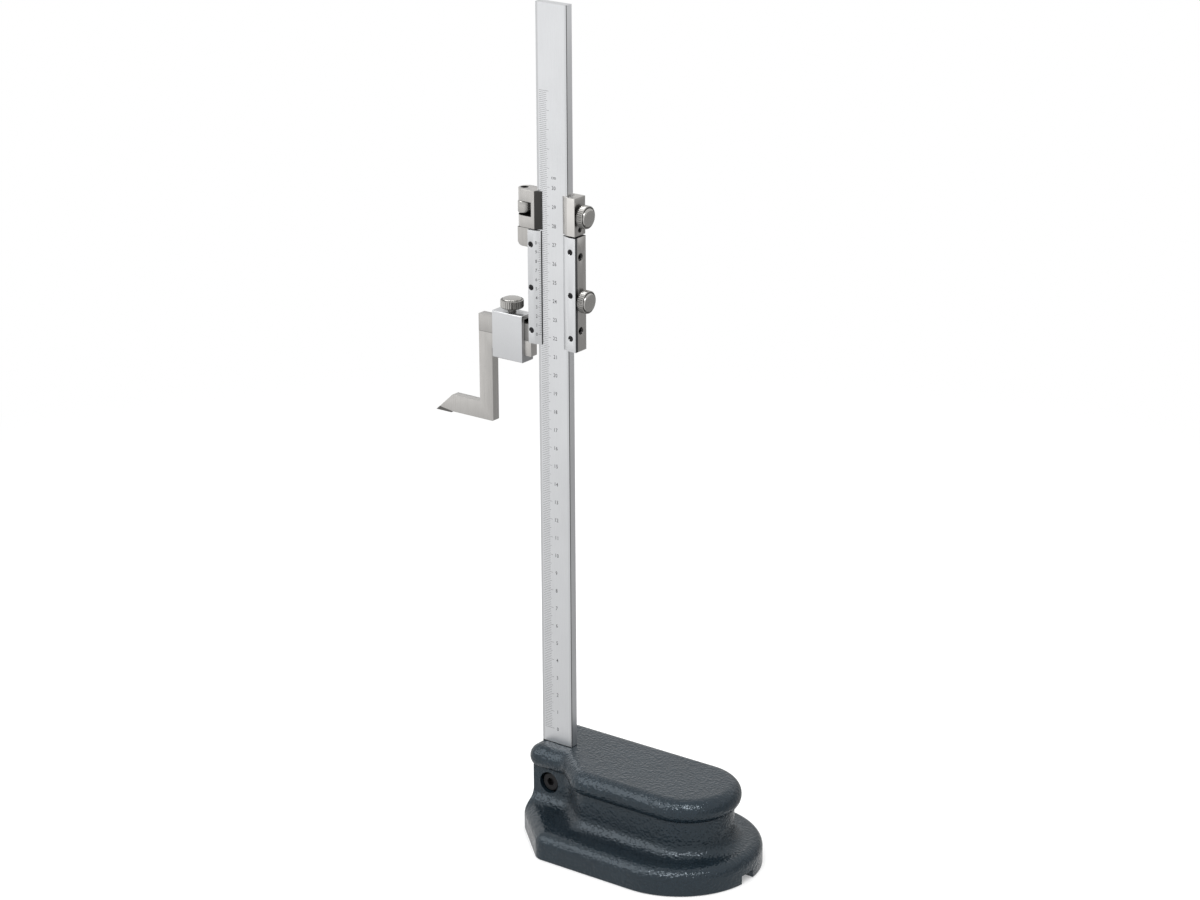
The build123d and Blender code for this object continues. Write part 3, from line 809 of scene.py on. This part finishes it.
class GAUGE_OT_vernier_scale(Operator):
    """Add the vernier's divisions and numerals to the sloping edge of its plate"""

    bl_idname = "gauge.vernier_scale"
    bl_label = "Vernier Scale"

    def execute(self, context):
        s = context.scene.gauge_scale
        low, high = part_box("vernier_plate")
        foot_x, edge_thickness, numeral_x = -10.2 * MM, 0.3 * MM, 0.9 * MM
        margin, short_line, long_line = 0.34 * MM, 1.05 * MM, 1.75 * MM
        foot = Vector((foot_x, low.y, 0))
        tip = Vector((high.x, high.y - edge_thickness, 0))
        slope = tip - foot
        across = slope.normalized()
        normal = Vector((across.y, -across.x, 0))
        zero = s.zero_height + s.reading
        place = face_place((foot.x, foot.y, zero), across, normal)
        width, height = s.line_width * 1.1, s.line_height
        divisions = s.vernier_divisions
        pitch = s.vernier_span / divisions
        end = slope.length - margin
        start = end - short_line
        rows = [
            ruled_lines(start, end, pitch, divisions + 1, width, height),
            ruled_lines(end - long_line, start, pitch * 5, divisions // 5 + 1, width, height),
        ]
        lay_on(rows, "vernier_graduations", place, "slider", "ink")
        numerals = []
        for number in range(11):
            piece = numeral(str(number % 10), s.vernier_numeral, height, 0.8)
            numerals.append(place_numeral(piece, numeral_x, number * s.vernier_span / 10, "CENTRE"))
        lay_on(numerals, "vernier_numerals", place, "slider", "ink")
        return {"FINISHED"}


# ---- knobs, nut and screws
def knurled_knob(name, settings, length, radius, gap, reach):
    """Knurled knob with its screw, about the local z: a collar, a knurled band and a domed cap."""
    end = gap + length
    low, high = gap + settings.knob_round, end - settings.cap_height
    chamfer, groove = high + 0.25 * MM, high - 0.05 * MM
    rings = [
        (-reach, SHANK * 0.82), (-reach + 0.3 * MM, SHANK), (0.05 * MM, SHANK), (0.05 * MM, COLLAR),
        (gap, COLLAR), (gap, radius * 0.8), (gap + 0.15 * MM, radius * 0.88),
        ((gap + low) / 2, radius * 0.95), (low - 0.04 * MM, radius * 0.985), (low, radius),
        (high, radius), (high + 0.04 * MM, radius * 0.985), (chamfer, radius * 0.93),
        (groove, radius * 0.87), (groove, radius * 0.82), (chamfer + 0.1 * MM, radius * 0.82),
        (end - 0.42 * MM, radius * 0.78), (end - 0.22 * MM, radius * 0.7),
        (end - 0.1 * MM, radius * 0.54), (end - 0.03 * MM, radius * 0.32), (end, radius * 0.08),
    ]
    obj = turned_solid(name, rings, settings.knurls * 2)
    knurl(obj, low, high, settings.knurls, settings.knurl_depth)
    step = math.pi / settings.knurls
    for face in obj.data.polygons:
        place = face.center
        across = math.hypot(place.x, place.y) / radius
        # painted shade in the darker second finish: one flank of each ridge, everything under the band and
        # the groove round the cap
        flank = low < place.z < high and math.floor(math.atan2(place.y, place.x) / step) % 2
        if flank or place.z < low or (place.z > high and 0.8 < across < 0.9):
            face.material_index = 1
    smooth_by_angle(obj, 32)
    return obj


class GAUGE_OT_lock_knobs(Operator):
    """Turn the two knurled lock screws of the slider and the carriage"""

    bl_idname = "gauge.lock_knobs"
    bl_label = "Lock Knobs"

    def execute(self, context):
        knobs = context.scene.gauge_knobs
        for node, body, block in (
            ("slider_lock_screw", "slider_lock", "slider_body"),
            ("carriage_lock_screw", "carriage_lock", "carriage_body"),
        ):
            low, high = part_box(node)
            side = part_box(block)[1].x
            length = 5.0 * MM
            obj = knurled_knob(
                node + "_knurled", knobs, length, high.z - mean(node, 2), high.x - side - length,
                side - low.x,
            )
            settle(obj, face_place((side, mean(node, 1), mean(node, 2)), (0, 1, 0), (1, 0, 0)))
            # the second finish is the darker nickel of painted shade
            dress(obj, body, "nickel knurled", [node])
        return {"FINISHED"}


class GAUGE_OT_clamp_knob(Operator):
    """Turn the knurled clamp screw on top of the clamp box"""

    bl_idname = "gauge.clamp_knob"
    bl_label = "Clamp Knob"

    def execute(self, context):
        knobs = context.scene.gauge_knobs
        low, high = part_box("clamp_screw")
        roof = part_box("clamp_box")[1].z
        length = 5.6 * MM
        obj = knurled_knob(
            "clamp_screw_knurled", knobs, length, high.x - mean("clamp_screw", 0),
            high.z - roof - length, roof - low.z,
        )
        settle(obj, Matrix.Translation((mean("clamp_screw", 0), mean("clamp_screw", 1), roof)))
        # the second finish is the darker nickel of painted shade
        dress(obj, "clamp_knob", "nickel knurled", ["clamp_screw"])
        return {"FINISHED"}


class GAUGE_OT_adjusting_nut(Operator):
    """Turn the knurled nut that moves the slider by small steps"""

    bl_idname = "gauge.adjusting_nut"
    bl_label = "Adjusting Nut"

    def execute(self, context):
        knobs = context.scene.gauge_knobs
        low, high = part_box("fine_adjust_nut")
        radius = (high.x - low.x) / 2
        height = high.z - low.z
        bore, band = 1.53 * MM, 1.05 * MM
        rings = [
            (0, bore), (0, radius * 0.8), (band * 0.3, radius * 0.89), (band * 0.7, radius * 0.96),
            (band, radius), (height - band, radius), (height - band * 0.7, radius * 0.96),
            (height - band * 0.3, radius * 0.89), (height, radius * 0.8), (height, bore), (0, bore),
        ]
        obj = turned_solid("fine_adjust_nut_knurled", rings, knobs.nut_knurls * 2)
        pick_parts(obj, faces=lambda f: len(f.vertices) > 4)
        bpy.ops.mesh.delete(type="ONLY_FACE")
        bpy.ops.mesh.select_all(action="SELECT")
        bpy.ops.mesh.remove_doubles(threshold=TINY)
        bpy.ops.mesh.normals_make_consistent(inside=False)
        leave_edit()
        knurl(obj, band, height - band, knobs.nut_knurls, knobs.nut_knurl_depth)
        smooth_by_angle(obj, 32)
        settle(obj, Matrix.Translation((mean("fine_adjust_nut", 0), mean("fine_adjust_nut", 1), low.z)))
        dress(obj, "adjusting_nut", "nickel", ["fine_adjust_nut"])
        return {"FINISHED"}


class GAUGE_OT_plate_screws(Operator):
    """Turn the countersunk screws of both plates, with slotted heads"""

    bl_idname = "gauge.plate_screws"
    bl_label = "Plate Screws"

    def execute(self, context):
        knobs = context.scene.gauge_knobs
        for node in ("vernier_plate_screws", "keeper_plate_screws"):
            low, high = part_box(node)
            head, shank, length = 1.6 * MM, 1.0 * MM, high.y - low.y
            screws = []
            for height, slot_turn in (
                (low.z + head, 35), (mean(node, 2), -20), (high.z - head, 70),
            ):
                rings = [
                    (-length, shank * 0.8), (-length + 0.25 * MM, shank),
                    (-(head - shank), shank), (-0.06 * MM, head * 0.985), (-0.02 * MM, head * 0.96),
                    (0, head * 0.86),
                ]
                obj = turned_solid("plate_screw", rings, 32)
                bpy.ops.object.select_all(action="DESELECT")
                bpy.ops.mesh.primitive_cube_add(
                    size=1, location=(0, 0, 0),
                    scale=(head * 3, knobs.slot_width, knobs.slot_depth * 2),
                )
                cutter = bpy.context.object
                settle(cutter)
                use_modifier(obj, "BOOLEAN", operation="DIFFERENCE", object=cutter, solver="EXACT")
                bpy.data.objects.remove(cutter)
                smooth_by_angle(obj, 30)
                turn = Matrix.Rotation(math.radians(slot_turn), 4, "Z")
                spot = face_place((mean(node, 0), low.y, height), (1, 0, 0), (0, -1, 0))
                settle(obj, spot @ turn)
                screws.append(obj)
            joined = join(screws, node + "_slotted")
            dress(joined, "slider", "black", [node])
        return {"FINISHED"}


# ---- machined pieces
class GAUGE_OT_machined_pieces(Operator):
    """Ease the edges of the machined pieces and give each its finish"""

    bl_idname = "gauge.machined_pieces"
    bl_label = "Machined Pieces"

    def execute(self, context):
        plan = (
            ("slider_body", "slider", "slider", "ground_steel", 0.12),
            ("carriage_body", "carriage", "carriage", "ground_steel", 0.12),
            ("vernier_plate", "slider", "vernier", "satin_chrome", 0.06),
            ("keeper_plate", "slider", "keeper", "satin_chrome", 0.06),
            ("clamp_box", "clamp", "box", "satin_chrome", 0.15),
            ("scriber", "scriber_arm", "scriber", "ground_steel", 0.1),
        )
        for node, body, finish, slot, width in plan:
            obj = eased_copy(node, width * MM)
            obj.name = node + "_eased"
            obj.data.name = obj.name
            dress(obj, body, finish, [node])
        return {"FINISHED"}


class GAUGE_OT_node_finishes(Operator):
    """Give every carried-over solid its finish"""

    bl_idname = "gauge.node_finishes"
    bl_label = "Node Finishes"

    def execute(self, context):
        finishes = {
            "base_casting": "enamel", "beam": "beam", "beam_clamp_screw": "black",
            "slider_body": "slider", "vernier_plate": "vernier", "keeper_plate": "keeper",
            "vernier_plate_screws": "black", "keeper_plate_screws": "black",
            "slider_gib": "steel_up", "slider_gib_screws": "black", "slider_lock_pad": "brass",
            "slider_lock_screw": "nickel", "carriage_body": "carriage", "carriage_gib": "steel_up",
            "carriage_gib_screw": "black", "carriage_lock_pad": "brass",
            "carriage_lock_screw": "nickel", "fine_adjust_screw": "steel_across",
            "fine_adjust_nut": "nickel", "scriber": "scriber", "scriber_tip": "carbide",
            "clamp_box": "box", "clamp_screw": "nickel",
        }
        missing = set(NODES) - set(finishes)
        if missing:
            raise RuntimeError(f"no finish for {sorted(missing)}")
        for node, name in finishes.items():
            for slot in NODES[node].material_slots:
                slot.material = material(name)
        return {"FINISHED"}


# ---- stage
def area_lamp(name, place, target, size, power):
    """Soft rectangular lamp aimed at a point."""
    bpy.ops.object.select_all(action="DESELECT")
    bpy.ops.object.light_add(type="AREA", location=place)
    lamp = bpy.context.object
    lamp.name = name
    lamp.data.shape = "RECTANGLE"
    lamp.data.size, lamp.data.size_y = size
    lamp.data.energy = power
    aim = Vector(target) - Vector(place)
    lamp.rotation_euler = aim.to_track_quat("-Z", "Y").to_euler()
    return lamp


def emission(tree, strength):
    """Emission of a strength; returns its output."""
    node = tree.nodes.new("ShaderNodeEmission")
    tree.links.new(strength, node.inputs["Strength"])
    return node.outputs[0]


def floor_material(settings):
    """Pale floor. Away from the gauge it runs out into plain white; mirrored, it darkens near it."""
    mat, tree, shader, vector = start_material("pale floor", roughness=0.9, specular=0.1)
    tone = spread(tree, noise(tree, vector, 3.0), 0.3, 0.7, 0.985, 1.0)
    base = mix_colour(tree, tone, (0, 0, 0), tuple(settings.floor_colour))
    tree.links.new(base, shader.inputs["Base Color"])
    path = tree.nodes.new("ShaderNodeLightPath")
    seen, glossy = path.outputs["Is Camera Ray"], path.outputs["Is Glossy Ray"]
    near = tree.nodes.new("ShaderNodeAddShader")
    tree.links.new(shader.outputs[0], near.inputs[0])
    tree.links.new(emission(tree, math_node(tree, "MULTIPLY", seen, 0.3)), near.inputs[1])
    reach = tree.nodes.new("ShaderNodeVectorMath")
    reach.operation = "LENGTH"
    tree.links.new(vector, reach.inputs[0])
    far = spread(tree, reach.outputs["Value"], 0.25, 0.8, smooth=True)
    mirrored = spread(tree, reach.outputs["Value"], 0.1, 1.3, settings.near_floor, 1.0)
    plain = emission(tree, spread(tree, glossy, 0.0, 1.0, 1.0, mirrored))
    share = math_node(tree, "MAXIMUM", math_node(tree, "MULTIPLY", far, seen), glossy)
    blend = tree.nodes.new("ShaderNodeMixShader")
    for socket, source in zip(blend.inputs, (share, near.outputs[0], plain)):
        tree.links.new(source, socket)
    tree.links.new(blend.outputs[0], tree.nodes["Material Output"].inputs["Surface"])
    return mat


def add_floor(settings):
    """Floor just under the base, so that their faces don't share a plane."""
    bpy.ops.object.select_all(action="DESELECT")
    bpy.ops.mesh.primitive_plane_add(size=16, location=(0, 2, -0.0004))
    floor = bpy.context.object
    floor.name = "floor"
    settle(floor)
    floor.data.materials.append(floor_material(settings))


def add_card(settings):
    """Grey card rising from the floor behind the base's long end; it shows only in reflections."""
    bpy.ops.object.select_all(action="DESELECT")
    bpy.ops.mesh.primitive_plane_add(size=1)
    card = bpy.context.object
    card.name = "grey_card"
    turn = Matrix.Rotation(math.radians(53), 4, "Z") @ Matrix.Rotation(math.radians(-25), 4, "Y")
    size = Matrix.Diagonal((0.7, 0.9, 1, 1))
    settle(card, Matrix.Translation((0.26, 0.34, 0.15)) @ turn @ size)
    card.visible_camera = card.visible_diffuse = card.visible_shadow = False
    mat, tree, _, vector = start_material("grey card")
    tone = settings.card_tone
    paint = emission(tree, spread(tree, noise(tree, vector, 5.0), 0.3, 0.7, 0.9 * tone, tone))
    tree.links.new(paint, tree.nodes["Material Output"].inputs["Surface"])
    card.data.materials.append(mat)


def add_surroundings(scene, settings):
    """Light from all round: plain white to the camera, and dimmer on and in the pieces."""
    world = bpy.data.worlds.new("studio")
    scene.world = world
    world.use_nodes = True
    tree = world.node_tree
    background = tree.nodes["Background"]
    path = tree.nodes.new("ShaderNodeLightPath")
    glossy = path.outputs["Is Glossy Ray"]
    seen = math_node(tree, "MAXIMUM", path.outputs["Is Camera Ray"], glossy)
    seen = math_node(tree, "MAXIMUM", seen, path.outputs["Is Transmission Ray"])
    mirrored = spread(tree, glossy, 0.0, 1.0, 1.0, settings.mirrored_level)
    level = spread(tree, seen, 0.0, 1.0, settings.world_level, mirrored)
    tree.links.new(level, background.inputs["Strength"])
    background.inputs["Color"].default_value = (1, 1, 1, 1)


def add_camera(scene, settings):
    """Camera from its place, yaw, pitch and roll."""
    bpy.ops.object.camera_add(location=settings.camera_place)
    camera = bpy.context.object
    camera.name = "camera"
    turn = (
        Matrix.Rotation(settings.camera_yaw, 4, "Z")
        @ Matrix.Rotation(math.pi / 2 - settings.camera_pitch, 4, "X")
        @ Matrix.Rotation(-settings.camera_roll, 4, "Z")
    )
    camera.rotation_euler = turn.to_euler()
    camera.data.lens = settings.lens
    camera.data.sensor_fit = "HORIZONTAL"
    camera.data.sensor_width = 36
    camera.data.clip_end = 50
    scene.camera = camera


class GAUGE_OT_stage(Operator):
    """Add the floor, the lamps, the surrounding light and the camera"""

    bl_idname = "gauge.stage"
    bl_label = "Stage"

    def execute(self, context):
        scene = context.scene
        s = scene.gauge_stage
        add_floor(s)
        add_card(s)
        area_lamp("key_lamp", (-1.1, -1.5, 1.5), (0, 0, 0.2), (1.9, 1.9), s.key_power)
        top = area_lamp("top_lamp", (0.1, 0.5, 1.9), (0, 0, 0.2), (1.6, 1.2), s.top_power)
        top.visible_glossy = False
        area_lamp("glint_lamp", (0.9, -1.5, 2.2), (0, 0, 0.05), (2.2, 0.35), s.glint_power)
        add_surroundings(scene, s)
        add_camera(scene, s)
        scene.view_settings.view_transform = "Standard"
        return {"FINISHED"}


# ---- panel and registration
OPERATORS = (
    GAUGE_OT_node_finishes,
    GAUGE_OT_machined_pieces,
    GAUGE_OT_beam_scale,
    GAUGE_OT_vernier_scale,
    GAUGE_OT_lock_knobs,
    GAUGE_OT_clamp_knob,
    GAUGE_OT_adjusting_nut,
    GAUGE_OT_plate_screws,
    GAUGE_OT_stage,
)


class GAUGE_PT_dresser(Panel):
    """Lists the steps that dress the gauge"""

    bl_idname = "GAUGE_PT_dresser"
    bl_label = "Height Gauge"
    bl_space_type = "VIEW_3D"
    bl_region_type = "UI"
    bl_category = "Height Gauge"

    def draw(self, context):
        for operator in OPERATORS:
            self.layout.operator(operator.bl_idname)


SETTINGS = {
    "gauge_scale": GaugeScaleSettings,
    "gauge_knobs": GaugeKnobSettings,
    "gauge_finish": GaugeFinishSettings,
    "gauge_stage": GaugeStageSettings,
}


def register():
    for cls in (*SETTINGS.values(), *OPERATORS, GAUGE_PT_dresser):
        bpy.utils.register_class(cls)
    for name, cls in SETTINGS.items():
        setattr(bpy.types.Scene, name, PointerProperty(type=cls))


def unregister():
    for name in SETTINGS:
        delattr(bpy.types.Scene, name)
    for cls in (GAUGE_PT_dresser, *reversed(OPERATORS), *SETTINGS.values()):
        bpy.utils.unregister_class(cls)


def main():
    """Dress the gauge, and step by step."""
    register()
    for operator in OPERATORS:
        group, step = operator.bl_idname.split(".")
        getattr(getattr(bpy.ops, group), step)()


if __name__ == "__main__":
    main()
